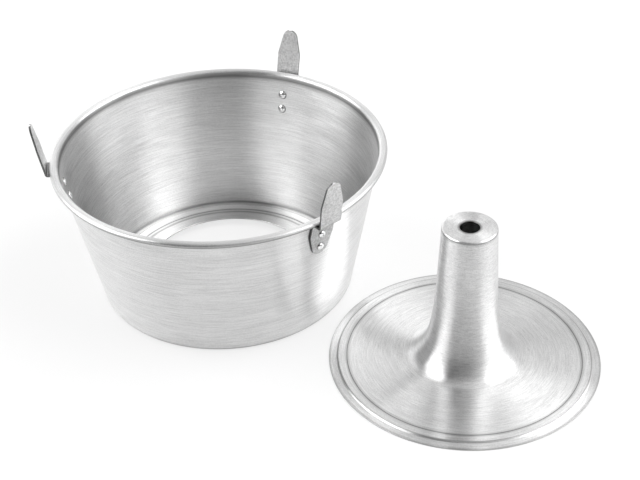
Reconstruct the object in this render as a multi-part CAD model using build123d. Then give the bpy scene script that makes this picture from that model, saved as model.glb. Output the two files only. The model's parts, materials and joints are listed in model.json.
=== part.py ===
from build123d import *
import os
from math import radians, sqrt, tan

os.makedirs("parts", exist_ok=True)

# Lengths are in millimetres and angles in degrees. The table top is at z = 0.

# Sheet that the pan shell and the tube insert are spun from
sheet = 0.9

# Pan shell: tapered wall, rolled rim and an open floor
rim_diameter = 254.0
pan_height = 116.0
foot_diameter = 198.0
foot_corner_radius = 2.8
bead_width = 5.8
bead_height = 3.8
bead_corner_radius = 1.5
curl_gap = 0.2
curl_fullness_share = 0.98
hole_diameter = 129.6

# Pressed ring in both the pan's floor and the insert's disc, set in from their edges
flange_width = 6.6
step_width = 1.0
ring_width = 6.6
pan_ring_rise = 1.5
pan_valley_rise = 0.8
pan_valley_width = 4.3
pan_valley_climb = 0.3

# Tube insert: stepped disc, flare and tapering tube
seat_height = 4.8
seat_clearance = 0.1
lip_width = 2.2
flange_rise = 0.5
disc_ring_rise = 1.6
disc_valley_rise = 1.0
disc_slope = 2.7
lower_flare_radius = 12.0
middle_flare_radius = 36.0
upper_flare_radius = 220.0
flare_straight = 0.2
lower_lean = 42.0
upper_lean = 11.5
tube_taper = 2.7
insert_height = 115.3
tube_top_diameter = 38.9
tube_corner_radius = 1.5
tube_top_dip = 0.5
tube_bore_diameter = 13.9
bore_land_width = 2.2

# Radii of the pressed bends
soft_bend_radius = 2.0
ring_bend_radius = 1.3
crisp_bend_radius = 0.5

# Cooling feet: strips bent out under the bead and up past the rim
strip = 1.4
foot_gap = 0.05
plate_bottom = 80.2
plate_end_radius = 7.0
plate_shoulder = 99.0
plate_width = 20.8
ledge_gap = 0.2
ledge_reach = 1.7
strip_bend_radius = 0.8
tab_lean = 10.0
tab_skew = 2.4
tab_width = 18.8
tab_shoulder = 130.5
tab_end_radius = 6.2
tab_top = 149.8

# Rivets: two in each foot, domed on both sides of the wall
rivet_heights = {"lower": 87.3, "upper": 99.2}
dimpled_rivets = ["upper"]
shank_diameter = 4.0
shank_clearance = 0.05
head_clearance = 0.02
outer_head_diameter = 6.2
outer_head_height = 1.9
inner_head_diameter = 7.0
inner_head_height = 1.6
dimple_radius = 0.8
dimple_depth = 0.4

# Places: the feet round the pan, and the insert standing beside the pan
foot_azimuth = {"back": 66.6, "left": 187.5, "front": 309.0}
insert_distance = 210.1
insert_azimuth = 327.3

# Length that every cut runs past what it cuts
overrun = 5.0

# Wall of the pan, straight between the foot and the underside of the bead
rim_radius = rim_diameter / 2
foot_radius = foot_diameter / 2
hole_radius = hole_diameter / 2
bead_underside = pan_height - bead_height
wall_slope = (rim_radius - bead_width - foot_radius) / bead_underside
wall_secant = sqrt(1 + wall_slope**2)


def wall_outside(height):
    return foot_radius + wall_slope * height


def wall_inside(height):
    return wall_outside(height) - sheet * wall_secant


# The disc drops into the tapered wall until it wedges, so its size follows from the wall
disc_radius = wall_inside(seat_height) - seat_clearance
disc_ring_outer = disc_radius - flange_width
disc_ring_inner = disc_ring_outer - ring_width
disc_valley_top = disc_valley_rise + sheet
cone_slope = tan(radians(disc_slope))


def disc_top(radius):
    """Height of the upper side of the disc, between its ring and the flare."""
    return disc_valley_top + (disc_ring_inner - radius) * cone_slope


# The raised edge of the pan's hole meets the underside of the seated disc
hole_edge_height = seat_height + disc_top(hole_radius) - sheet


def sheet_section(points, radii, thickness):
    """Section of a bent sheet: one side runs through the points, the other lies to their left.

    The radii are those of the bends on the side of the points. Both sides bend about one centre.
    """
    near = [Vector(*point) for point in points]
    runs = [(after - before).normalized() for before, after in zip(near, near[1:])]
    lefts = [Vector(-run.Y, run.X) for run in runs]
    far = [near[0] + lefts[0] * thickness]
    far_radii = []
    for corner, radius, left, next_left, next_run in zip(near[1:], radii, lefts, lefts[1:], runs[1:]):
        far.append(corner + (left + next_left) * (thickness / (1 + left.dot(next_left))))
        turns_left = left.dot(next_run) > 0
        far_radii.append(radius - thickness if turns_left else radius + thickness)
    far.append(near[-1] + lefts[-1] * thickness)
    outline = FilletPolyline(*near, radius=radii).edges()
    outline += FilletPolyline(*far, radius=far_radii).edges()
    outline += [Edge.make_line(near[0], far[0]), Edge.make_line(near[-1], far[-1])]
    return make_face(outline)


def spun(section):
    """Solid of a section drawn as radius and height, turned about the Z axis."""
    return revolve(Plane.XZ * section, Axis.Z)


def make_pan_shell():
    """Sheet from the edge of the hole, over the pressed ring and up the wall into the rolled rim."""
    ring_outer = foot_radius - flange_width
    ring_inner = ring_outer - ring_width
    curl_top = pan_height - sheet
    curl_bottom = bead_underside + sheet
    curl_radius = (curl_top - curl_bottom) / 2 * curl_fullness_share
    underside = [
        (hole_radius, hole_edge_height - sheet),
        (ring_inner - pan_valley_width, pan_valley_rise + pan_valley_climb),
        (ring_inner, pan_valley_rise),
        (ring_outer, pan_ring_rise),
        (ring_outer + step_width, 0),
        (foot_radius, 0),
        (wall_outside(curl_top), curl_top),
        (rim_radius - sheet, curl_top),
        (rim_radius - sheet, curl_bottom),
        (wall_outside(curl_bottom) + curl_gap, curl_bottom),
    ]
    bends = [
        soft_bend_radius,
        soft_bend_radius,
        crisp_bend_radius,
        ring_bend_radius,
        foot_corner_radius,
        bead_corner_radius,
        curl_radius,
        curl_radius,
    ]
    return spun(sheet_section(underside, bends, sheet))


def make_tube_insert():
    """Sheet from the disc's edge, over the pressed ring and up the flare to the bore at the top."""
    # Three arcs make the flare, with a short leaning line between each two
    lower_reach = lower_flare_radius * tan(radians(90 - disc_slope - lower_lean) / 2)
    middle_reach = middle_flare_radius * tan(radians(lower_lean - upper_lean) / 2)
    upper_reach = upper_flare_radius * tan(radians(upper_lean - tube_taper) / 2)
    lower_run = Vector(0, -(lower_reach + flare_straight + middle_reach)).rotate(Axis.Z, lower_lean)
    upper_run = Vector(0, -(middle_reach + flare_straight + upper_reach)).rotate(Axis.Z, upper_lean)
    flare_run = lower_run + upper_run
    # The upper line meets the side of the tube at the knee, and the lower line ends on the disc
    tube_radius = tube_top_diameter / 2
    taper_slope = tan(radians(tube_taper))
    tube_foot_radius = tube_radius + insert_height * taper_slope
    cone_reach = disc_ring_inner - tube_foot_radius - flare_run.X
    knee_height = disc_valley_top - flare_run.Y + cone_reach * cone_slope
    knee_height /= 1 - taper_slope * cone_slope
    knee = Vector(tube_foot_radius - knee_height * taper_slope, knee_height)
    # The top dips towards a level land round the bore
    bore_radius = tube_bore_diameter / 2
    land_height = insert_height - tube_top_dip
    upper_side = [
        (disc_radius, sheet),
        (disc_radius - lip_width, sheet),
        (disc_ring_outer + step_width, flange_rise + sheet),
        (disc_ring_outer, disc_ring_rise + sheet),
        (disc_ring_inner, disc_valley_top),
        knee + flare_run,
        knee + upper_run,
        knee,
        (tube_radius, insert_height),
        (bore_radius + bore_land_width, land_height),
        (bore_radius, land_height),
    ]
    bends = [
        soft_bend_radius,
        crisp_bend_radius,
        ring_bend_radius,
        crisp_bend_radius,
        lower_flare_radius,
        middle_flare_radius,
        upper_flare_radius,
        tube_corner_radius,
        soft_bend_radius,
    ]
    return spun(sheet_section(upper_side, bends, sheet))


def foot_lobe(width, shoulder, end_radius, end_height, shoulder_shift=0, end_shift=0):
    """Flat outline that narrows from a straight shoulder to a round end, each shifted sideways."""
    shoulder_line = Edge.make_line((-width / 2, shoulder), (width / 2, shoulder))
    end = Pos(end_shift, end_height) * Circle(end_radius)
    return make_hull([Pos(shoulder_shift, 0) * shoulder_line, *end.edges()])


def make_cooling_foot():
    """Foot at azimuth zero: its side view is bent from strip, its front view is cut to the outline."""
    ledge_top = bead_underside - ledge_gap
    tab_base = rim_radius + ledge_reach
    inner_side = [
        (tab_base + (tab_top - ledge_top) * tan(radians(tab_lean)), tab_top),
        (tab_base, ledge_top),
        (wall_outside(ledge_top) + foot_gap, ledge_top),
        (wall_outside(plate_bottom) + foot_gap, plate_bottom),
    ]
    section = sheet_section(inner_side, [strip_bend_radius, strip_bend_radius + strip], strip)
    strip_body = extrude(Plane.XZ * section, max(plate_width, tab_width), both=True)
    # The tab is bent a little askew, so it leans clockwise round the pan as seen from above
    tab_end = tab_top - tab_end_radius
    skew_slope = tan(radians(tab_skew))
    shoulder_shift = (ledge_top - tab_shoulder) * skew_slope
    end_shift = (ledge_top - tab_end) * skew_slope
    outline = Polygon(
        (-plate_width / 2, plate_shoulder),
        (plate_width / 2, plate_shoulder),
        (tab_width / 2, ledge_top),
        (shoulder_shift + tab_width / 2, tab_shoulder),
        (shoulder_shift - tab_width / 2, tab_shoulder),
        (-tab_width / 2, ledge_top),
        align=None,
    )
    outline += foot_lobe(plate_width, plate_shoulder, plate_end_radius, plate_bottom + plate_end_radius)
    outline += foot_lobe(tab_width, tab_shoulder, tab_end_radius, tab_end, shoulder_shift, end_shift)
    return strip_body & extrude(Plane.YZ * outline, rim_diameter)


def rivet_plane(height):
    """Plane on the outside of the wall at azimuth zero, with its Z axis square to the wall."""
    return Plane(origin=(wall_outside(height), 0, height), x_dir=(0, 1, 0), z_dir=(1, 0, -wall_slope))


def rivet_hole(height):
    radius = shank_diameter / 2 + shank_clearance
    return rivet_plane(height) * extrude(Circle(radius), overrun, both=True)


def make_rivet(height, dimpled):
    """Rivet through wall and foot: the inner head's flat base clears the hollow of the wall."""
    shank_radius = shank_diameter / 2
    outer_radius = outer_head_diameter / 2
    inner_radius = inner_head_diameter / 2
    hollow_depth = inner_radius**2 / (2 * wall_inside(height))
    outer_base = foot_gap / wall_secant + strip + head_clearance
    outer_top = outer_base + outer_head_height
    inner_base = -sheet - hollow_depth - head_clearance
    inner_top = inner_base - inner_head_height
    outline = [
        Edge.make_tangent_arc((0, outer_top), (1, 0), (outer_radius, outer_base)),
        Edge.make_line((outer_radius, outer_base), (shank_radius, outer_base)),
        Edge.make_line((shank_radius, outer_base), (shank_radius, inner_base)),
        Edge.make_line((shank_radius, inner_base), (inner_radius, inner_base)),
        Edge.make_tangent_arc((0, inner_top), (1, 0), (inner_radius, inner_base)),
        Edge.make_line((0, inner_top), (0, outer_top)),
    ]
    rivet = spun(make_face(outline))
    if dimpled:
        ball_radius = (dimple_radius**2 + dimple_depth**2) / (2 * dimple_depth)
        rivet -= Pos(0, 0, outer_top - dimple_depth + ball_radius) * Sphere(ball_radius)
    return rivet_plane(height) * rivet


# Pan with its feet, standing on the table about its own axis
holes = [rivet_hole(height) for height in rivet_heights.values()]
shell = make_pan_shell()
foot = make_cooling_foot() - holes
pieces = {}
for side, azimuth in foot_azimuth.items():
    turn = Rot(0, 0, azimuth)
    shell -= [turn * hole for hole in holes]
    pieces[f"foot_{side}"] = turn * foot
    for level, height in rivet_heights.items():
        pieces[f"rivet_{side}_{level}"] = turn * make_rivet(height, level in dimpled_rivets)
pieces["pan_shell"] = shell

# Insert, standing on the table beside the pan
beside = Rot(0, 0, insert_azimuth) * Pos(insert_distance, 0, 0)
pieces["tube_insert"] = beside * make_tube_insert()

# The origin is on the table, in the middle of the space that both take up
space = Compound(list(pieces.values())).bounding_box()
centred = Pos(-space.center().X, -space.center().Y, 0)
for name, piece in pieces.items():
    export_step(centred * piece, f"parts/{name}.step")

pan_axis = centred.position
insert_axis = (centred * beside).position
print(f"pan axis at {pan_axis.X:.3f}, {pan_axis.Y:.3f}")
print(f"insert axis at {insert_axis.X:.3f}, {insert_axis.Y:.3f}")
print(f"disc radius {disc_radius:.3f}, hole edge at height {hole_edge_height:.3f}")
print(f"size {space.size.X:.2f} x {space.size.Y:.2f} x {space.size.Z:.2f}")
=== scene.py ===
import json
from math import ceil, cos, exp, pi, radians, sin, sqrt, tan

import bmesh
import bpy
from mathutils import Matrix, Vector


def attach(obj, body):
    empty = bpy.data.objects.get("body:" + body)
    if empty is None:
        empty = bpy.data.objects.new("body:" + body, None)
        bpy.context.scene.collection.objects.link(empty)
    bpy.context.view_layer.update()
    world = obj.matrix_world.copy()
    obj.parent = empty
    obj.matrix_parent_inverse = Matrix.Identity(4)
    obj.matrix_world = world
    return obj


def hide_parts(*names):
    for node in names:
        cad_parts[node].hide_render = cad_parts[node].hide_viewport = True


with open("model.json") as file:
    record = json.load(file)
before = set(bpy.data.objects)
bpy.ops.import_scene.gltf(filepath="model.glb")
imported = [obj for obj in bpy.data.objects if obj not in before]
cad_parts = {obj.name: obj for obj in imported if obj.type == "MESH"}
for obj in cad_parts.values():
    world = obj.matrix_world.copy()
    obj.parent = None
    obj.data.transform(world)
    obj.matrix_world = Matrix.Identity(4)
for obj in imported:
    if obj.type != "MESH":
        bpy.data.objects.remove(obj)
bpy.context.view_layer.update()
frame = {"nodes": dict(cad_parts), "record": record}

bl_info = {
    "name": "Angel food cake pan",
    "version": (1, 0, 0),
    "blender": (4, 5, 0),
    "location": "View3D > Sidebar > Cake pan",
    "description": "Spun pan, tube insert, cooling feet and rivets, set out on a table",
    "category": "Object",
}

PLACES = {mount["name"]: mount["pos_m"] for mount in frame["record"]["mounts"]}
PAN_AXIS = Vector((*PLACES["cooling_rest"][:2], 0))
INSERT_AXIS = Vector((*PLACES["tube_top_hole"][:2], 0))

# Azimuth of each cooling foot in degrees
SIDES = {"back": 66.6, "left": 187.5, "front": 309.0}

# Azimuth and height of the middle in degrees, and strength: the soft boxes, and paler parts of the room
SOFT_BOXES = ((0, 38, 3.52), (180, 38, 3.72))
GLOWS = (
    (0, 65, 0.27), (60, 65, 0.82), (36, 38, 0.08), (72, 38, 0.20), (252, 38, 0.08), (288, 38, 0.03),
    (324, 38, 1.13), (270, 75, 0.55), (30, 10, 1.12), (90, 10, 1.10), (120, 10, 1.52), (150, 10, 0.74),
    (180, 10, 0.40),
)

# Largest turn between two points of an arc, fewest steps in one, and a turn and a distance that are none
ARC_STEP = radians(11)
LEAST_STEPS = 3
NO_TURN = 1e-6
NO_DISTANCE = 1e-6

# Straight run that is divided, and the short step beside each arc, in steps of the usual spacing
LONG_RUN = 4 / 3
SUPPORT_STEP = 0.25

# Grooves of spun sheet: how short they are, how many to a metre, and detail and seed of the noise
FINE_GROOVES = (7.0, 2600.0, 2.0, 0.3)
TOOL_MARKS = (2.5, 800.0, 2.0, 4.1)
GLOSS_BANDS = (2.5, 90.0, 1.0, 7.7)

# Scale and detail of the noises that run no particular way
SPUN_GRAIN = (1500.0, 2.0)
STRIP_GRAIN = (650.0, 4.0)
STRIP_CLOUDS = (140.0, 2.0)
RIVET_MARKS = (700.0, 3.0)

# Shares of fine grooves, tool marks and grain
RELIEF_SHARES = (0.6, 0.4, 0.2)
TONE_SHARES = (0.45, 0.2, 0.35)

# Shares of fine grooves and gloss bands, and of grain and clouds
GLOSS_SHARES = (0.5, 0.5)
STRIP_SHARES = (0.8, 0.2)

# Spans of noise that are spread over a whole look: a narrow one shows more of the pattern
WIDE_SPAN = (0.3, 0.7)
NARROW_SPAN = (0.35, 0.65)

# Highlights on spun sheet stretch across the grooves when they are turned by a quarter
QUARTER_TURN = 0.25

# Faces of a foot within the first angle are one face, and edges past the second are eased in steps
FLAT_ANGLE = radians(1)
SHARP_ANGLE = radians(35)
EDGE_STEPS = 3

# The most that a large face of a foot can weigh in the shading, so that it stays flat
FACE_WEIGHT = 100

# A face of a foot is cut, not rolled, where its normal leans outwards by less than this
CUT_LEAN = 0.02

# Steps across a dimple and a dome, and where the dome ends and its rim stands, as shares of its radius
DIMPLE_STEPS = 5
DOME_STEPS = 14
DOME_SHARE = 0.97
RIM_SHARE = 0.995

# Width of the camera's film in millimetres
FILM_WIDTH = 36


def length(name, metres, description):
    """A length that the sidebar shows in scene units."""
    return bpy.props.FloatProperty(
        name=name, description=description, default=metres, min=0, unit="LENGTH", precision=5
    )


def share(name, default, description):
    """A plain number from nothing to one."""
    return bpy.props.FloatProperty(
        name=name, description=description, default=default, min=0, max=1, subtype="FACTOR"
    )


def angle(name, degrees, description):
    """An angle, given in degrees."""
    return bpy.props.FloatProperty(
        name=name, description=description, default=radians(degrees), subtype="ANGLE"
    )


def steps(name, number, description):
    """A number of steps round a circle."""
    return bpy.props.IntProperty(name=name, description=description, default=number, min=24)


class SheetSizes(bpy.types.PropertyGroup):
    """Sizes that the pan shell and the tube insert share."""

    thickness: length("Sheet", 0.0009, "Thickness of the spun sheet")
    cut_edge: length("Cut edge", 0.0002, "Radius on the edges where the sheet was trimmed")
    crease_width: length("Crease", 0.0005, "How far the dark line in a crease reaches")
    flange_width: length("Flange", 0.0066, "From the foot of the wall to the pressed ring")
    step_width: length("Step", 0.001, "Width of the slope between the flange and the ring")
    ring_width: length("Ring", 0.0066, "Width of the pressed ring")
    soft_bend: length("Soft bend", 0.002, "Radius of the soft bends")
    ring_bend: length("Ring bend", 0.0013, "Radius at the top of the pressed ring")
    crisp_bend: length("Crisp bend", 0.0005, "Radius in the creases beside the ring")
    point_spacing: length("Spacing", 0.0018, "Longest step between points along the section")
    segments: steps("Segments", 256, "Steps round the axis")


class PanSizes(bpy.types.PropertyGroup):
    """Sizes of the pan shell."""

    rim_diameter: length("Rim", 0.254, "Across the rolled rim")
    height: length("Height", 0.116, "From the table to the top of the rim")
    foot_diameter: length("Foot", 0.198, "Across the bottom of the wall")
    foot_corner: length("Foot corner", 0.0028, "Radius between the wall and the floor")
    bead_width: length("Bead width", 0.0058, "How far the rolled rim stands out from the wall")
    bead_height: length("Bead height", 0.0038, "Height of the rolled rim")
    bead_corner: length("Bead corner", 0.0015, "Radius where the wall turns into the rim")
    curl_gap: length("Curl gap", 0.0002, "From the end of the curl to the wall")
    curl_fullness: share("Curl fullness", 0.98, "Radius of the curl, as a share of what there is room for")
    hole_diameter: length("Hole", 0.1296, "Across the hole in the floor")
    hole_edge: length("Hole edge", 0.006787, "Height of the upper edge of the hole")
    ring_rise: length("Ring rise", 0.0015, "Height of the underside of the pressed ring")
    valley_rise: length("Valley rise", 0.0008, "Height of the underside inside the ring")
    valley_width: length("Valley width", 0.0043, "From the ring to where the floor starts to climb")
    valley_climb: length("Valley climb", 0.0003, "Rise of the floor over that width")


class InsertSizes(bpy.types.PropertyGroup):
    """Sizes of the tube insert."""

    disc_radius: length("Disc radius", 0.098932, "From the axis to the edge of the disc")
    lip_width: length("Lip", 0.0022, "Width of the flat lip at the edge")
    flange_rise: length("Flange rise", 0.0005, "Rise of the flange at the step")
    ring_rise: length("Ring rise", 0.0016, "Height of the underside of the pressed ring")
    valley_rise: length("Valley rise", 0.001, "Height of the underside inside the ring")
    disc_slope: angle("Disc slope", 2.7, "Climb of the disc")
    lower_lean: angle("Lower lean", 42, "Lean between the lower arcs")
    upper_lean: angle("Upper lean", 11.5, "Lean between the upper arcs")
    tube_taper: angle("Taper", 2.7, "Taper of the tube's side")
    lower_flare: length("Lower flare", 0.012, "Radius of the arc from the disc into the flare")
    middle_flare: length("Middle flare", 0.036, "Radius of the arc in the middle of the flare")
    upper_flare: length("Upper flare", 0.220, "Radius of the arc from the flare into the tube")
    flare_straight: length("Flare straight", 0.0002, "Straight part between two arcs")
    height: length("Height", 0.1153, "From the table to the top of the tube")
    top_diameter: length("Tube top", 0.0389, "Across the top of the tube, before its corner is rounded")
    top_corner: length("Top corner", 0.0015, "Radius round the top of the tube")
    top_dip: length("Top dip", 0.0005, "How far the top sinks towards its hole")
    land_radius: length("Land", 0.0092, "Radius where the flat land round the hole starts")
    bore_diameter: length("Bore", 0.0139, "Across the hole in the top")


class FootSizes(bpy.types.PropertyGroup):
    """Finish of the cut strips."""

    strip: length("Strip", 0.0014, "Thickness of the strip")
    gap: length("Gap", 0.00005, "Gap between a foot and the wall")
    edge: length("Edge", 0.0003, "Radius left on the sheared edges")
    ledge_height: length("Ledge", 0.1125, "Height under which a foot is in the shade of the rim")
    # Painted shade on the plate of each foot under the rim
    plate_shade: share("Plate shade", 0.35, "Painted shade under the rim, as a share of that on a cut edge")


class RivetSizes(bpy.types.PropertyGroup):
    """Sizes of the rivets."""

    lower_height: length("Lower rivet", 0.0873, "Height of the lower rivet of each foot")
    upper_height: length("Upper rivet", 0.0992, "Height of the upper rivet of each foot")
    shank_diameter: length("Shank", 0.004, "Across the shank")
    outer_diameter: length("Outer head", 0.0062, "Across the outer head")
    outer_height: length("Outer head height", 0.0019, "Height of the outer head")
    inner_diameter: length("Inner head", 0.007, "Across the inner head")
    inner_height: length("Inner head height", 0.0016, "Height of the inner head")
    clearance: length("Clearance", 0.00002, "Gap under a head")
    dimple_radius: length("Dimple radius", 0.0008, "Radius of the dimple in the upper rivets")
    dimple_depth: length("Dimple depth", 0.0004, "Depth of that dimple")
    rim_width: length("Dark rim", 0.0008, "How far the dark line round a head reaches")
    segments: steps("Segments", 40, "Steps round a rivet")


class MetalLook(bpy.types.PropertyGroup):
    """Colours and gloss of the three finishes."""

    spun_tone: share("Spun tone", 0.71, "How light the spun sheet is")
    spun_roughness: share("Spun roughness", 0.33, "Roughness of the spun sheet")
    spun_stretch: share("Spun stretch", 0.94, "How far highlights stretch across the grooves")
    strip_tone: share("Strip tone", 0.72, "How light the feet are")
    strip_roughness: share("Strip roughness", 0.42, "Roughness of the feet")
    rivet_tone: share("Rivet tone", 0.925, "How light the rivets are")
    rivet_roughness: share("Rivet roughness", 0.2, "Roughness of the rivets")
    grain_contrast: share("Grain contrast", 0.17, "How much the tone of the spun sheet varies")
    gloss_contrast: share("Gloss contrast", 0.05, "How much the roughness of the spun sheet varies")
    strip_contrast: share("Strip contrast", 0.16, "How much the tone of the feet varies")
    rivet_contrast: share("Rivet contrast", 0.025, "How much the tone of the rivets varies")
    spun_relief: length("Spun relief", 0.00003, "Depth of the grooves in the spun sheet")
    strip_relief: length("Strip relief", 0.00006, "Depth of the grain of the feet")
    rivet_relief: length("Rivet relief", 0.00002, "Depth of the marks on the rivets")
    # Painted shade in the creases of the spun sheets
    crease_shade: share("Crease shade", 0.85, "How much darker the creases of the spun sheets are")
    # Painted shade round rivet heads and on the feet, with real wear on the sheared edges
    edge_shade_and_wear: share("Edge shade and wear", 0.8, "How much darker cut edges and the rims of rivets are")


class StageLook(bpy.types.PropertyGroup):
    """Table, light and camera."""

    floor_tone: share("Table tone", 0.25, "How light the table is")
    floor_fill: share("Table fill", 0.68, "White added to the table where it is seen or mirrored")
    table_reach: length("Table reach", 40.0, "From the middle of the table to its edges")
    dark_reach: length("Dark reach", 0.06, "From the insert's axis to where white starts to be mirrored")
    pale_reach: length("Pale reach", 0.095, "From that axis to where all of it is")
    room_level: share("Room level", 0.93, "How bright the soft lights in the room are")
    softness: bpy.props.FloatProperty(
        name="Falloff", description="How fast the paler parts of the room fade", default=9.0, min=1.0
    )
    box_reach: angle("Soft box", 27, "From the middle of a soft box to its edge")
    box_blur: angle("Soft edge", 6, "Blur on that edge")
    focal_length: bpy.props.FloatProperty(
        name="Focal length", description="Focal length of the camera", default=73.47, unit="CAMERA"
    )
    camera_shift: bpy.props.FloatProperty(
        name="Camera shift",
        description="Shift of the picture down and to the right, in widths of the picture",
        default=0.00078,
        precision=5,
    )
    camera_tilt: angle("Camera tilt", 54.586, "Turn of the camera up from straight down")
    camera_roll: angle("Camera roll", -1.812, "Turn of the camera about its own line of sight")
    camera_place: bpy.props.FloatVectorProperty(
        name="Camera place",
        description="Where the camera stands",
        default=(0.004518, -0.80222, 0.62767),
        subtype="TRANSLATION",
    )


def add(tree, kind, inputs=None, **settings):
    """New node with its settings made and its inputs set or linked."""
    node = tree.nodes.new(kind)
    for name, value in settings.items():
        setattr(node, name, value)
    for name, value in (inputs or {}).items():
        if isinstance(value, bpy.types.NodeSocket):
            tree.links.new(value, node.inputs[name])
        else:
            node.inputs[name].default_value = value
    return node


def maths(tree, operation, *values):
    """Result of one sum."""
    return add(tree, "ShaderNodeMath", dict(enumerate(values)), operation=operation).outputs[0]


def fillet(before, corner, after, radius, spacing):
    """Points round one corner, with more of them where the turn is sharp or long."""
    arriving = (corner - before).normalized()
    leaving = (after - corner).normalized()
    turn = arriving.angle_signed(leaving)
    if abs(turn) < NO_TURN or radius <= 0:
        return [corner]
    reach = radius * tan(abs(turn) / 2)
    start = corner - arriving * reach
    side = Vector((-arriving.y, arriving.x)) * (-1 if turn > 0 else 1)
    centre = start + side * radius
    count = max(LEAST_STEPS, ceil(abs(turn) / ARC_STEP), ceil(abs(turn) * radius / spacing))
    points = []
    for step in range(count + 1):
        turned = abs(turn) * step / count
        points.append(centre - side * radius * cos(turned) + arriving * radius * sin(turned))
    return points


def rounded_loop(corners, radii, spacing):
    """Closed outline through the corners, with long straight runs divided."""
    arcs = []
    for index, corner in enumerate(corners):
        before = corners[index - 1]
        after = corners[(index + 1) % len(corners)]
        arcs.append(fillet(before, corner, after, radii[index], spacing))
    points = []
    for index, arc in enumerate(arcs):
        points += arc
        target = arcs[(index + 1) % len(arcs)][0]
        gap = target - arc[-1]
        if gap.length > LONG_RUN * spacing:
            # A short step beside each arc keeps the shading of the straight run flat
            support = gap.normalized() * spacing * SUPPORT_STEP
            inner = gap - 2 * support
            count = ceil(inner.length / spacing)
            points += [arc[-1] + support + inner * step / count for step in range(count + 1)]
    points.append(points[0])
    return points


def sheet_outline(corners, radii, sheet):
    """Section of a bent sheet, with the corners of both its sides: the far side lies to the left."""
    near = [Vector(corner) for corner in corners]
    runs = [(after - before).normalized() for before, after in zip(near, near[1:])]
    lefts = [Vector((-run.y, run.x)) for run in runs]
    far = [near[0] + lefts[0] * sheet.thickness]
    far_radii = []
    for corner, radius, left, next_left, next_run in zip(near[1:], radii, lefts, lefts[1:], runs[1:]):
        far.append(corner + (left + next_left) * (sheet.thickness / (1 + left.dot(next_left))))
        turns_left = left.dot(next_run) > 0
        far_radii.append(radius - sheet.thickness if turns_left else radius + sheet.thickness)
    far.append(near[-1] + lefts[-1] * sheet.thickness)
    edge = [sheet.cut_edge]
    loop_radii = edge + list(radii) + edge + edge + far_radii[::-1] + edge
    return rounded_loop(near + far[::-1], loop_radii, sheet.point_spacing), near, far


def wall_slope(pan):
    """How far the pan's wall leans out over its height."""
    return ((pan.rim_diameter - pan.foot_diameter) / 2 - pan.bead_width) / (pan.height - pan.bead_height)


def pan_section(pan, sheet):
    """Section of the pan shell from its hole to its rolled rim.

    The marks of painted shade come with it, with real wear on the cut edge: each has a place, a depth and how
    far it reaches.
    """
    foot = pan.foot_diameter / 2
    rim = pan.rim_diameter / 2
    underside = pan.height - pan.bead_height
    slope = wall_slope(pan)
    ring_outer = foot - sheet.flange_width
    ring_inner = ring_outer - sheet.ring_width
    curl_top = pan.height - sheet.thickness
    curl_bottom = underside + sheet.thickness
    curl = (curl_top - curl_bottom) / 2 * pan.curl_fullness
    corners = [
        (pan.hole_diameter / 2, pan.hole_edge - sheet.thickness),
        (ring_inner - pan.valley_width, pan.valley_rise + pan.valley_climb),
        (ring_inner, pan.valley_rise),
        (ring_outer, pan.ring_rise),
        (ring_outer + sheet.step_width, 0),
        (foot, 0),
        (foot + slope * curl_top, curl_top),
        (rim - sheet.thickness, curl_top),
        (rim - sheet.thickness, curl_bottom),
        (foot + slope * curl_bottom + pan.curl_gap, curl_bottom),
    ]
    bends = [
        sheet.soft_bend,
        sheet.soft_bend,
        sheet.crisp_bend,
        sheet.ring_bend,
        pan.foot_corner,
        pan.bead_corner,
        curl,
        curl,
    ]
    loop, near, far = sheet_outline(corners, bends, sheet)
    under_bead = Vector((foot + slope * underside, underside))
    line = sheet.crease_width
    return loop, [
        # Painted shade in the creases beside the pressed ring, and where the floor climbs to the hole
        (far[2], 1.0, line),
        (far[3], 0.8, line),
        (far[4], 1.0, line),
        (far[1], 0.6, 3 * line),
        # Painted shade on the cut edge of the hole, with its wear, and at the foot of the wall from both
        # sides
        (near[0], 0.8, line),
        (near[5], 1.0, 3 * line),
        (far[5], 1.0, 3 * line),
        # Painted shade on the lower edge of the rolled rim, and at its corner with the wall
        (far[8], 1.0, 4 * line),
        (under_bead, 1.0, 4 * line),
    ]


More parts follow.
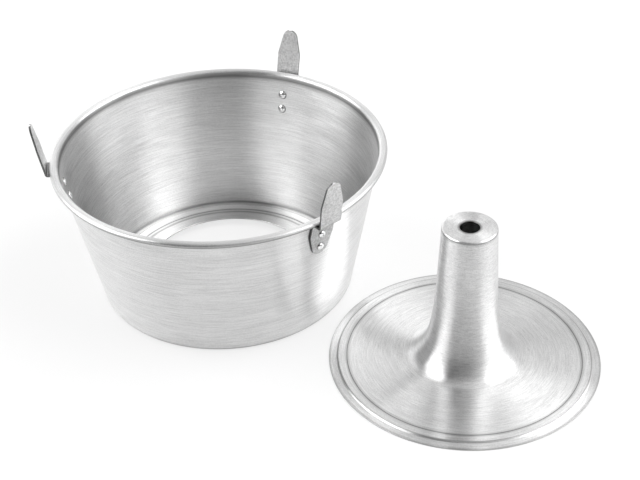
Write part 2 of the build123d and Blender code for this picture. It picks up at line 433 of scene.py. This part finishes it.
def insert_section(insert, sheet):
    """Section of the tube insert from the disc's edge to its bore, with its marks."""
    valley = insert.valley_rise + sheet.thickness
    ring_outer = insert.disc_radius - sheet.flange_width
    ring_inner = ring_outer - sheet.ring_width
    lower_reach = insert.lower_flare * tan((pi / 2 - insert.disc_slope - insert.lower_lean) / 2)
    middle_reach = insert.middle_flare * tan((insert.lower_lean - insert.upper_lean) / 2)
    upper_reach = insert.upper_flare * tan((insert.upper_lean - insert.tube_taper) / 2)
    lower_line = lower_reach + insert.flare_straight + middle_reach
    upper_line = middle_reach + insert.flare_straight + upper_reach
    upper_run = Vector((sin(insert.upper_lean), -cos(insert.upper_lean))) * upper_line
    flare_run = Vector((sin(insert.lower_lean), -cos(insert.lower_lean))) * lower_line + upper_run
    cone = tan(insert.disc_slope)
    taper = tan(insert.tube_taper)
    tube_foot = insert.top_diameter / 2 + insert.height * taper
    knee_height = (valley - flare_run.y + (ring_inner - tube_foot - flare_run.x) * cone) / (1 - taper * cone)
    knee = Vector((tube_foot - knee_height * taper, knee_height))
    corners = [
        (insert.disc_radius, sheet.thickness),
        (insert.disc_radius - insert.lip_width, sheet.thickness),
        (ring_outer + sheet.step_width, insert.flange_rise + sheet.thickness),
        (ring_outer, insert.ring_rise + sheet.thickness),
        (ring_inner, valley),
        knee + flare_run,
        knee + upper_run,
        knee,
        (insert.top_diameter / 2, insert.height),
        (insert.land_radius, insert.height - insert.top_dip),
        (insert.bore_diameter / 2, insert.height - insert.top_dip),
    ]
    bends = [
        sheet.soft_bend,
        sheet.crisp_bend,
        sheet.ring_bend,
        sheet.crisp_bend,
        insert.lower_flare,
        insert.middle_flare,
        insert.upper_flare,
        insert.top_corner,
        sheet.soft_bend,
    ]
    loop, near, far = sheet_outline(corners, bends, sheet)
    under_top = Vector((insert.top_diameter / 2, insert.height - insert.top_corner))
    line = sheet.crease_width
    return loop, [
        # Painted shade on the edge of the disc, with its wear, and on both sides of the pressed ring
        (near[0], 0.5, line),
        (near[3], 0.6, line),
        (near[4], 0.9, line),
        # Painted shade under the corner round the top of the tube, and on both edges of the bore
        (under_top, 0.7, line),
        (near[-1], 1.0, line),
        (far[-1], 1.0, line),
    ]


def section_object(name, points, creases):
    """Object that holds a section as a row of points, with the way run along it and the painted shade, with
    wear on cut edges, at each.
    """
    mesh = bpy.data.meshes.new(name)
    mesh.from_pydata([(point.x, 0, point.y) for point in points], [], [])
    run = mesh.attributes.new("run", "FLOAT", "POINT")
    dirt = mesh.attributes.new("dirt", "FLOAT", "POINT")
    way = 0.0
    for index, point in enumerate(points):
        if index:
            way += (point - points[index - 1]).length
        run.data[index].value = way
        marks = [depth * exp(-(((point - place).length / reach) ** 2)) for place, depth, reach in creases]
        dirt.data[index].value = max(marks)
    section = bpy.data.objects.new(name, mesh)
    bpy.context.scene.collection.objects.link(section)
    return section


def new_tree(name, inputs, output):
    """Geometry tree with its named inputs and its one output."""
    tree = bpy.data.node_groups.new(name, "GeometryNodeTree")
    for label, kind in inputs.items():
        tree.interface.new_socket(label, in_out="INPUT", socket_type=f"NodeSocket{kind}")
    tree.interface.new_socket(output, in_out="OUTPUT", socket_type="NodeSocketGeometry")
    return tree, add(tree, "NodeGroupInput").outputs


def end_tree(tree, geometry, finish, output):
    """Ends a tree with plain geometry that has its finish."""
    real = add(tree, "GeometryNodeRealizeInstances", {"Geometry": geometry})
    finished = add(tree, "GeometryNodeSetMaterial", {"Geometry": real.outputs[0], "Material": finish})
    add(tree, "NodeGroupOutput", {output: finished.outputs[0]})


def lathe_group():
    """Node group that turns a section about the Z axis."""
    if "Lathe" in bpy.data.node_groups:
        return bpy.data.node_groups["Lathe"]
    tree, given = new_tree("Lathe", {"Section": "Geometry", "Segments": "Int", "Axis": "Vector"}, "Spun")
    size = add(tree, "GeometryNodeAttributeDomainSize", {"Geometry": given["Section"]}, component="MESH")
    rows = size.outputs["Point Count"]
    columns = add(tree, "FunctionNodeIntegerMath", {0: given["Segments"], 1: 1}, operation="ADD")
    grid = add(tree, "GeometryNodeMeshGrid", {"Vertices X": columns.outputs[0], "Vertices Y": rows})
    index = add(tree, "GeometryNodeInputIndex").outputs[0]
    row = maths(tree, "MODULO", index, rows)
    # Half a point more keeps the division clear of rounding
    column = maths(tree, "FLOOR", maths(tree, "DIVIDE", maths(tree, "ADD", index, 0.5), rows))
    around = maths(tree, "MULTIPLY", maths(tree, "DIVIDE", column, given["Segments"]), 2 * pi)

    def stored(name):
        """Number that the points carry under a name."""
        return add(tree, "GeometryNodeInputNamedAttribute", {"Name": name}, data_type="FLOAT").outputs[0]

    def from_section(value, kind):
        """Value at the point of the section that a point of the grid stands for."""
        inputs = {"Geometry": given["Section"], "Value": value, "Index": row}
        return add(tree, "GeometryNodeSampleIndex", inputs, data_type=kind).outputs[0]

    def store(geometry, name, value, kind, domain):
        """Geometry that carries a value under a name."""
        inputs = {"Geometry": geometry, "Name": name, "Value": value}
        kept = add(tree, "GeometryNodeStoreNamedAttribute", inputs, data_type=kind, domain=domain)
        return kept.outputs[0]

    place = from_section(add(tree, "GeometryNodeInputPosition").outputs[0], "FLOAT_VECTOR")
    turned = add(tree, "ShaderNodeVectorRotate", {"Vector": place, "Angle": around}, rotation_type="Z_AXIS")
    moved = add(tree, "ShaderNodeVectorMath", {0: turned.outputs[0], 1: given["Axis"]}, operation="ADD")
    run = from_section(stored("run"), "FLOAT")
    # Painted shade, with wear on cut edges, carried from the section onto the spun sheet
    dirt = from_section(stored("dirt"), "FLOAT")
    marked = store(grid.outputs["Mesh"], "way", run, "FLOAT", "POINT")
    shaded = store(marked, "dirt", dirt, "FLOAT", "POINT")
    across = add(tree, "ShaderNodeSeparateXYZ", {0: grid.outputs["UV Map"]}).outputs["X"]
    flat = add(tree, "ShaderNodeCombineXYZ", {"X": across, "Y": stored("way")}).outputs[0]
    mapped = store(shaded, "UVMap", flat, "FLOAT2", "CORNER")
    placed = add(tree, "GeometryNodeSetPosition", {"Geometry": mapped, "Position": moved.outputs[0]})
    inputs = {"Geometry": placed.outputs[0], "Distance": NO_DISTANCE}
    closed = add(tree, "GeometryNodeMergeByDistance", inputs)
    smooth = add(tree, "GeometryNodeSetShadeSmooth", {"Geometry": closed.outputs[0]})
    add(tree, "NodeGroupOutput", {"Spun": smooth.outputs[0]})
    return tree


def spinning_tree():
    """Tree for one spun sheet: the object's own points are its section."""
    inputs = {"Section": "Geometry", "Segments": "Int", "Axis": "Vector", "Finish": "Material"}
    tree, given = new_tree("Spinning", inputs, "Sheet")
    wanted = {name: given[name] for name in ("Section", "Segments", "Axis")}
    spun = add(tree, "GeometryNodeGroup", wanted, node_tree=lathe_group())
    end_tree(tree, spun.outputs[0], given["Finish"], "Sheet")
    return tree


def riveting_tree():
    """Tree for rivets: the object's own points are their places, with the way that each faces."""
    inputs = {"Places": "Geometry", "Section": "Object", "Segments": "Int", "Finish": "Material"}
    tree, given = new_tree("Riveting", inputs, "Rivets")
    section = add(tree, "GeometryNodeObjectInfo", {"Object": given["Section"]}).outputs["Geometry"]
    wanted = {"Section": section, "Segments": given["Segments"]}
    spun = add(tree, "GeometryNodeGroup", wanted, node_tree=lathe_group())
    facing = add(tree, "GeometryNodeInputNamedAttribute", {"Name": "facing"}, data_type="FLOAT_VECTOR")
    turn = add(tree, "FunctionNodeAlignRotationToVector", {"Vector": facing.outputs[0]}, axis="Z")
    points = {"Points": given["Places"], "Instance": spun.outputs[0], "Rotation": turn.outputs[0]}
    copies = add(tree, "GeometryNodeInstanceOnPoints", points)
    end_tree(tree, copies.outputs[0], given["Finish"], "Rivets")
    return tree


def grow(obj, tree, **values):
    """Runs a tree on an object and leaves its result as the object's plain mesh."""
    modifier = obj.modifiers.new(tree.name, "NODES")
    modifier.node_group = tree
    for item in tree.interface.items_tree:
        if item.in_out == "INPUT" and item.name in values:
            modifier[item.identifier] = values[item.name]
    depsgraph = bpy.context.evaluated_depsgraph_get()
    mesh = bpy.data.meshes.new_from_object(obj.evaluated_get(depsgraph))
    obj.modifiers.remove(modifier)
    obj.data = mesh
    face_outwards(mesh)
    return obj


def face_outwards(mesh):
    """Turns the faces of a closed mesh outwards."""
    work = bmesh.new()
    work.from_mesh(mesh)
    bmesh.ops.recalc_face_normals(work, faces=work.faces)
    work.to_mesh(mesh)
    work.free()


def grey_with_painted_shade(tree, tone, depth):
    """Grey colour of a tone that painted shade darkens in creases, under rims and round rivet heads, and on
    cut edges along with their wear.
    """
    dirt = add(tree, "ShaderNodeAttribute", attribute_name="dirt").outputs["Fac"]
    kept = maths(tree, "SUBTRACT", 1.0, maths(tree, "MULTIPLY", dirt, depth))
    grey = maths(tree, "MULTIPLY", tone, kept)
    return add(tree, "ShaderNodeCombineColor", {"Red": grey, "Green": grey, "Blue": grey}).outputs[0]


def noise(tree, vector, scale, detail):
    """Noise that runs no particular way."""
    inputs = {"Vector": vector, "Scale": scale, "Detail": detail}
    return add(tree, "ShaderNodeTexNoise", inputs).outputs["Fac"]


def blend(tree, values, shares):
    """Sum of values, each times its share."""
    total = 0.0
    for value, part in zip(values, shares):
        total = maths(tree, "MULTIPLY_ADD", value, part, total)
    return total


def vary(tree, value, span, middle, contrast):
    """Brings values that lie in a span to as much as the contrast below and above a middle."""
    inputs = {"Value": value, "From Min": span[0], "From Max": span[1]}
    inputs |= {"To Min": middle - contrast, "To Max": middle + contrast}
    return add(tree, "ShaderNodeMapRange", inputs).outputs[0]


def raise_relief(tree, shader, height, depth):
    """Gives a metal a fine relief."""
    bump = add(tree, "ShaderNodeBump", {"Height": height, "Strength": 1.0, "Distance": depth})
    tree.links.new(bump.outputs[0], shader.inputs["Normal"])


def new_finish(name):
    """Metal shader and its material, with nothing else in it."""
    finish = bpy.data.materials.new(name)
    finish.use_nodes = True
    tree = finish.node_tree
    shader = tree.nodes["Principled BSDF"]
    shader.inputs["Metallic"].default_value = 1.0
    return finish, tree, shader


def spun_finish(name, axis, look):
    """Spun aluminium: fine grooves round the axis, coarser tool marks and broad bands of gloss."""
    finish, tree, shader = new_finish(name)
    shader.inputs["Anisotropic"].default_value = look.spun_stretch
    shader.inputs["Anisotropic Rotation"].default_value = QUARTER_TURN
    place = add(tree, "ShaderNodeTexCoord").outputs["Object"]
    centred = add(tree, "ShaderNodeMapping", {"Vector": place, "Location": -axis}).outputs[0]
    level = add(tree, "ShaderNodeVectorMath", {0: centred, 1: (1, 1, 0)}, operation="MULTIPLY")
    around = add(tree, "ShaderNodeVectorMath", {0: level.outputs[0]}, operation="NORMALIZE").outputs[0]
    flat_map = add(tree, "ShaderNodeUVMap", uv_map="UVMap").outputs[0]
    way = add(tree, "ShaderNodeSeparateXYZ", {0: flat_map}).outputs["Y"]
    tangent = add(tree, "ShaderNodeTangent", direction_type="UV_MAP", uv_map="UVMap")
    tree.links.new(tangent.outputs[0], shader.inputs["Tangent"])

    def grooves(shortness, per_metre, detail, seed):
        """Noise drawn out round the axis: shortness breaks grooves up, per_metre packs them."""
        ring = add(tree, "ShaderNodeVectorMath", {0: around, "Scale": shortness}, operation="SCALE")
        parts = add(tree, "ShaderNodeSeparateXYZ", {0: ring.outputs[0]}).outputs
        across = maths(tree, "MULTIPLY", way, per_metre)
        vector = add(tree, "ShaderNodeCombineXYZ", {"X": parts["X"], "Y": parts["Y"], "Z": across}).outputs[0]
        inputs = {"Vector": vector, "W": seed, "Scale": 1.0, "Detail": detail}
        return add(tree, "ShaderNodeTexNoise", inputs, noise_dimensions="4D").outputs["Fac"]

    fine = grooves(*FINE_GROOVES)
    tool = grooves(*TOOL_MARKS)
    bands = grooves(*GLOSS_BANDS)
    grain = noise(tree, centred, *SPUN_GRAIN)
    patterns = (fine, tool, grain)
    raise_relief(tree, shader, blend(tree, patterns, RELIEF_SHARES), look.spun_relief)
    gloss = blend(tree, (fine, bands), GLOSS_SHARES)
    rough = vary(tree, gloss, WIDE_SPAN, look.spun_roughness, look.gloss_contrast)
    tree.links.new(rough, shader.inputs["Roughness"])
    mixed = blend(tree, patterns, TONE_SHARES)
    tone = vary(tree, mixed, NARROW_SPAN, look.spun_tone, look.grain_contrast)
    tree.links.new(grey_with_painted_shade(tree, tone, look.crease_shade), shader.inputs["Base Color"])
    return finish


def strip_finish(look):
    """Dull finish of the feet: a close mottled grain over soft clouds."""
    finish, tree, shader = new_finish("foot_strip")
    place = add(tree, "ShaderNodeTexCoord").outputs["Object"]
    grain = noise(tree, place, *STRIP_GRAIN)
    clouds = noise(tree, place, *STRIP_CLOUDS)
    raise_relief(tree, shader, grain, look.strip_relief)
    mixed = blend(tree, (grain, clouds), STRIP_SHARES)
    tone = vary(tree, mixed, NARROW_SPAN, look.strip_tone, look.strip_contrast)
    tree.links.new(grey_with_painted_shade(tree, tone, look.edge_shade_and_wear), shader.inputs["Base Color"])
    shader.inputs["Roughness"].default_value = look.strip_roughness
    return finish


def rivet_finish(look):
    """Bright formed heads with fine marks from the rivet set."""
    finish, tree, shader = new_finish("rivet_aluminium")
    place = add(tree, "ShaderNodeTexCoord").outputs["Object"]
    marks = noise(tree, place, *RIVET_MARKS)
    raise_relief(tree, shader, marks, look.rivet_relief)
    tone = vary(tree, marks, WIDE_SPAN, look.rivet_tone, look.rivet_contrast)
    tree.links.new(grey_with_painted_shade(tree, tone, look.edge_shade_and_wear), shader.inputs["Base Color"])
    shader.inputs["Roughness"].default_value = look.rivet_roughness
    return finish


class CAKEPAN_OT_spin_shell(bpy.types.Operator):
    """Spin the pan shell over its section."""

    bl_idname = "cakepan.spin_shell"
    bl_label = "Spin the pan shell"

    def execute(self, context):
        scene = context.scene
        sheet = scene.sheet_sizes
        shell = section_object("spun_pan_shell", *pan_section(scene.pan_sizes, sheet))
        finish = spun_finish("spun_pan", PAN_AXIS, scene.metal_look)
        grow(shell, spinning_tree(), Segments=sheet.segments, Axis=PAN_AXIS, Finish=finish)
        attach(shell, "pan")
        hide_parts("pan_shell")
        return {"FINISHED"}


class CAKEPAN_OT_spin_insert(bpy.types.Operator):
    """Spin the tube insert over its section."""

    bl_idname = "cakepan.spin_insert"
    bl_label = "Spin the tube insert"

    def execute(self, context):
        scene = context.scene
        sheet = scene.sheet_sizes
        insert = section_object("spun_tube_insert", *insert_section(scene.insert_sizes, sheet))
        finish = spun_finish("spun_insert", INSERT_AXIS, scene.metal_look)
        grow(insert, spinning_tree(), Segments=sheet.segments, Axis=INSERT_AXIS, Finish=finish)
        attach(insert, "insert")
        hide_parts("tube_insert")
        return {"FINISHED"}


class CAKEPAN_OT_bend_feet(bpy.types.Operator):
    """Make the three cooling feet, with their sheared edges eased."""

    bl_idname = "cakepan.bend_feet"
    bl_label = "Bend the cooling feet"

    def execute(self, context):
        scene = context.scene
        finish = strip_finish(scene.metal_look)
        for side, azimuth in SIDES.items():
            solid = frame["nodes"][f"foot_{side}"]
            foot = bpy.data.objects.new(f"eased_foot_{side}", solid.data.copy())
            scene.collection.objects.link(foot)
            turn = Matrix.Rotation(radians(azimuth), 3, "Z")
            ease_edges(foot, turn @ Vector((1, 0, 0)), scene.foot_sizes)
            foot.data.materials.clear()
            foot.data.materials.append(finish)
            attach(foot, "pan")
            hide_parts(f"foot_{side}")
        return {"FINISHED"}


def ease_edges(foot, outwards, sizes):
    """Joins the loose triangles of a copy, marks its cut faces and rounds the sharp edges."""
    work = bmesh.new()
    work.from_mesh(foot.data)
    bmesh.ops.remove_doubles(work, verts=work.verts, dist=NO_DISTANCE)
    bmesh.ops.dissolve_limit(work, angle_limit=FLAT_ANGLE, verts=work.verts, edges=work.edges)
    work.normal_update()
    # Cut faces get painted shade along with their wear, and the plate under the rim gets painted shade
    dirt = work.faces.layers.float.new("dirt")
    for face in work.faces:
        cut = abs(face.normal.dot(outwards)) < CUT_LEAN
        under_rim = face.calc_center_median().z < sizes.ledge_height
        face[dirt] = 1.0 if cut else sizes.plate_shade if under_rim else 0.0
        face.smooth = True
    for edge in work.edges:
        edge.smooth = True
    work.to_mesh(foot.data)
    work.free()
    bevel = foot.modifiers.new("Eased edges", "BEVEL")
    bevel.width = sizes.edge
    bevel.segments = EDGE_STEPS
    bevel.limit_method = "ANGLE"
    bevel.angle_limit = SHARP_ANGLE
    shading = foot.modifiers.new("Flat faces stay flat", "WEIGHTED_NORMAL")
    shading.mode = "FACE_AREA"
    shading.weight = FACE_WEIGHT
    depsgraph = bpy.context.evaluated_depsgraph_get()
    mesh = bpy.data.meshes.new_from_object(foot.evaluated_get(depsgraph))
    foot.modifiers.clear()
    foot.data = mesh


def rivet_section(sizes, base, inner_base, dimpled):
    """Section of a rivet from the outer tip, round both heads, to the inner tip."""
    outer = sizes.outer_diameter / 2
    inner = sizes.inner_diameter / 2
    shank = sizes.shank_diameter / 2
    tip = base + sizes.outer_height
    points = []
    if dimpled:
        ball = (sizes.dimple_radius**2 + sizes.dimple_depth**2) / (2 * sizes.dimple_depth)
        for step in range(DIMPLE_STEPS):
            radius = sizes.dimple_radius * step / DIMPLE_STEPS
            points.append(Vector((radius, tip - sizes.dimple_depth + ball - sqrt(ball**2 - radius**2))))
    points += dome(sizes.dimple_radius if dimpled else 0, outer, base, sizes.outer_height)
    corners = ((outer, base), (shank, base), (shank, inner_base), (inner, inner_base))
    points += [Vector(corner) for corner in corners]
    head = dome(0, inner, inner_base, sizes.inner_height)
    points += [Vector((point.x, 2 * inner_base - point.y)) for point in reversed(head)]
    return points


def dome(start, radius, base, height):
    """Points down a domed head, from a distance off its middle to the edge of its rim."""
    ball = (radius**2 + height**2) / (2 * height)
    points = []
    for step in range(DOME_STEPS + 1):
        reach = start + (radius * DOME_SHARE - start) * step / DOME_STEPS
        points.append(Vector((reach, base + height - ball + sqrt(ball**2 - reach**2))))
    points.append(Vector((radius * RIM_SHARE, (points[-1].y + base) / 2)))
    return points


class CAKEPAN_OT_set_rivets(bpy.types.Operator):
    """Set two rivets in each cooling foot."""

    bl_idname = "cakepan.set_rivets"
    bl_label = "Set the rivets"

    def execute(self, context):
        scene = context.scene
        pan = scene.pan_sizes
        sizes = scene.rivet_sizes
        sheet = scene.sheet_sizes.thickness
        foot = pan.foot_diameter / 2
        slope = wall_slope(pan)
        secant = sqrt(1 + slope**2)
        finish = rivet_finish(scene.metal_look)
        tree = riveting_tree()
        turns = [Matrix.Rotation(radians(azimuth), 3, "Z") for azimuth in SIDES.values()]
        for level, height in (("upper", sizes.upper_height), ("lower", sizes.lower_height)):
            dimpled = level == "upper"
            wall = foot + slope * height
            # The flat underside of the inner head stands off the hollow of the wall
            hollow = (sizes.inner_diameter / 2) ** 2 / (2 * (wall - sheet * secant))
            base = scene.foot_sizes.gap / secant + scene.foot_sizes.strip + sizes.clearance
            inner_base = -sheet - hollow - sizes.clearance
            # Painted shade in the crease round each head, and a painted dark spot in the middle of the dimple
            marks = [
                (Vector((sizes.outer_diameter / 2, base)), 1.0, sizes.rim_width),
                (Vector((sizes.inner_diameter / 2, inner_base)), 1.0, sizes.rim_width),
            ]
            if dimpled:
                bottom = base + sizes.outer_height - sizes.dimple_depth
                marks.append((Vector((0, bottom)), 1.0, sizes.dimple_radius))
            outline = rivet_section(sizes, base, inner_base, dimpled)
            section = section_object("rivet_section", outline, marks)
            mesh = bpy.data.meshes.new("rivet_places")
            mesh.from_pydata([PAN_AXIS + turn @ Vector((wall, 0, height)) for turn in turns], [], [])
            facing = mesh.attributes.new("facing", "FLOAT_VECTOR", "POINT")
            for index, turn in enumerate(turns):
                facing.data[index].vector = turn @ Vector((1, 0, -slope)).normalized()
            rivets = bpy.data.objects.new(f"set_rivets_{level}", mesh)
            scene.collection.objects.link(rivets)
            grow(rivets, tree, Section=section, Segments=sizes.segments, Finish=finish)
            bpy.data.objects.remove(section)
            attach(rivets, "pan")
            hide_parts(*[f"rivet_{side}_{level}" for side in SIDES])
        return {"FINISHED"}


class CAKEPAN_OT_set_stage(bpy.types.Operator):
    """Lay the white table, light it softly and set the camera."""

    bl_idname = "cakepan.set_stage"
    bl_label = "Set the stage"

    def execute(self, context):
        scene = context.scene
        lay_table(scene.stage_look)
        light_room(scene.stage_look)
        set_camera(scene.stage_look)
        return {"FINISHED"}


def lay_table(look):
    """White table that keeps the soft shadow under the object."""
    mesh = bpy.data.meshes.new("table")
    reach = look.table_reach
    corners = [(-reach, -reach, 0), (reach, -reach, 0), (reach, reach, 0), (-reach, reach, 0)]
    mesh.from_pydata(corners, [], [(0, 1, 2, 3)])
    table = bpy.data.objects.new("table", mesh)
    bpy.context.scene.collection.objects.link(table)
    cover = bpy.data.materials.new("table_white")
    cover.use_nodes = True
    tree = cover.node_tree
    tree.nodes.clear()
    tone = look.floor_tone
    paint = add(tree, "ShaderNodeBsdfDiffuse", {"Color": (tone, tone, tone, 1)})
    rays = add(tree, "ShaderNodeLightPath").outputs
    mirrored = maths(tree, "MAXIMUM", rays["Is Glossy Ray"], rays["Is Transmission Ray"])
    # Metal inside the standing insert mirrors no white, so that its bore looks into the dark
    place = add(tree, "ShaderNodeTexCoord").outputs["Object"]
    off_axis = add(tree, "ShaderNodeVectorMath", {0: place, 1: INSERT_AXIS}, operation="DISTANCE")
    inputs = {"Value": off_axis.outputs["Value"], "From Min": look.dark_reach, "From Max": look.pale_reach}
    open_table = add(tree, "ShaderNodeMapRange", inputs).outputs[0]
    seen = maths(tree, "MAXIMUM", rays["Is Camera Ray"], maths(tree, "MULTIPLY", mirrored, open_table))
    strength = maths(tree, "MULTIPLY", seen, look.floor_fill)
    fill = add(tree, "ShaderNodeEmission", {"Color": (1, 1, 1, 1), "Strength": strength})
    both = add(tree, "ShaderNodeAddShader", {0: paint.outputs[0], 1: fill.outputs[0]})
    add(tree, "ShaderNodeOutputMaterial", {"Surface": both.outputs[0]})
    mesh.materials.append(cover)


def light_room(look):
    """Room of soft glows all round, with a broad soft box at either side."""
    world = bpy.data.worlds.new("Room")
    bpy.context.scene.world = world
    world.use_nodes = True
    tree = world.node_tree
    tree.nodes.clear()
    way = add(tree, "ShaderNodeTexCoord").outputs["Generated"]
    room = 0.0

    def facing(azimuth, height):
        """How nearly a direction points at a place in the room: 1 where it does."""
        level = Vector((cos(radians(height)), 0, sin(radians(height))))
        middle = Matrix.Rotation(radians(azimuth), 3, "Z") @ level
        dot = add(tree, "ShaderNodeVectorMath", {0: way, 1: middle}, operation="DOT_PRODUCT")
        return dot.outputs["Value"]

    for azimuth, height, glow in GLOWS:
        fall = maths(tree, "MULTIPLY", maths(tree, "SUBTRACT", facing(azimuth, height), 1.0), look.softness)
        room = maths(tree, "MULTIPLY_ADD", maths(tree, "EXPONENT", fall), glow * look.room_level, room)
    dark = cos(look.box_reach + look.box_blur)
    full = cos(look.box_reach - look.box_blur)
    for azimuth, height, glow in SOFT_BOXES:
        inputs = {"Value": facing(azimuth, height), "From Min": dark, "From Max": full}
        box = add(tree, "ShaderNodeMapRange", inputs, interpolation_type="SMOOTHSTEP").outputs[0]
        room = maths(tree, "MULTIPLY_ADD", box, glow * look.room_level, room)
    back = add(tree, "ShaderNodeBackground", {"Color": (1, 1, 1, 1), "Strength": room})
    add(tree, "ShaderNodeOutputWorld", {"Surface": back.outputs[0]})


def set_camera(look):
    """Camera at the height and angle of the photograph."""
    data = bpy.data.cameras.new("view")
    data.lens = look.focal_length
    data.sensor_width = FILM_WIDTH
    data.shift_x = -look.camera_shift
    data.shift_y = look.camera_shift
    camera = bpy.data.objects.new("view", data)
    tilt = Matrix.Rotation(look.camera_tilt, 4, "X")
    roll = Matrix.Rotation(look.camera_roll, 4, "Z")
    camera.matrix_world = Matrix.Translation(look.camera_place) @ tilt @ roll
    bpy.context.scene.collection.objects.link(camera)
    bpy.context.scene.camera = camera


OPERATORS = (
    CAKEPAN_OT_spin_shell,
    CAKEPAN_OT_spin_insert,
    CAKEPAN_OT_bend_feet,
    CAKEPAN_OT_set_rivets,
    CAKEPAN_OT_set_stage,
)


class CAKEPAN_PT_sidebar(bpy.types.Panel):
    """Steps that make the pan."""

    bl_idname = "CAKEPAN_PT_sidebar"
    bl_label = "Cake pan"
    bl_space_type = "VIEW_3D"
    bl_region_type = "UI"
    bl_category = "Cake pan"

    def draw(self, context):
        for operator in OPERATORS:
            self.layout.operator(operator.bl_idname)
        for name in SETTINGS:
            box = self.layout.box()
            settings = getattr(context.scene, name)
            for field in settings.bl_rna.properties:
                if field.identifier not in {"rna_type", "name"}:
                    box.prop(settings, field.identifier)


SETTINGS = {
    "sheet_sizes": SheetSizes,
    "pan_sizes": PanSizes,
    "insert_sizes": InsertSizes,
    "foot_sizes": FootSizes,
    "rivet_sizes": RivetSizes,
    "metal_look": MetalLook,
    "stage_look": StageLook,
}


def register():
    for name, settings in SETTINGS.items():
        bpy.utils.register_class(settings)
        setattr(bpy.types.Scene, name, bpy.props.PointerProperty(type=settings))
    for operator in OPERATORS:
        bpy.utils.register_class(operator)
    bpy.utils.register_class(CAKEPAN_PT_sidebar)


def unregister():
    bpy.utils.unregister_class(CAKEPAN_PT_sidebar)
    for operator in reversed(OPERATORS):
        bpy.utils.unregister_class(operator)
    for name, settings in reversed(SETTINGS.items()):
        delattr(bpy.types.Scene, name)
        bpy.utils.unregister_class(settings)


def main():
    register()
    bpy.context.scene.view_settings.view_transform = "Standard"
    bpy.ops.cakepan.spin_shell()
    bpy.ops.cakepan.spin_insert()
    bpy.ops.cakepan.bend_feet()
    bpy.ops.cakepan.set_rivets()
    bpy.ops.cakepan.set_stage()


if __name__ == "__main__":
    main()
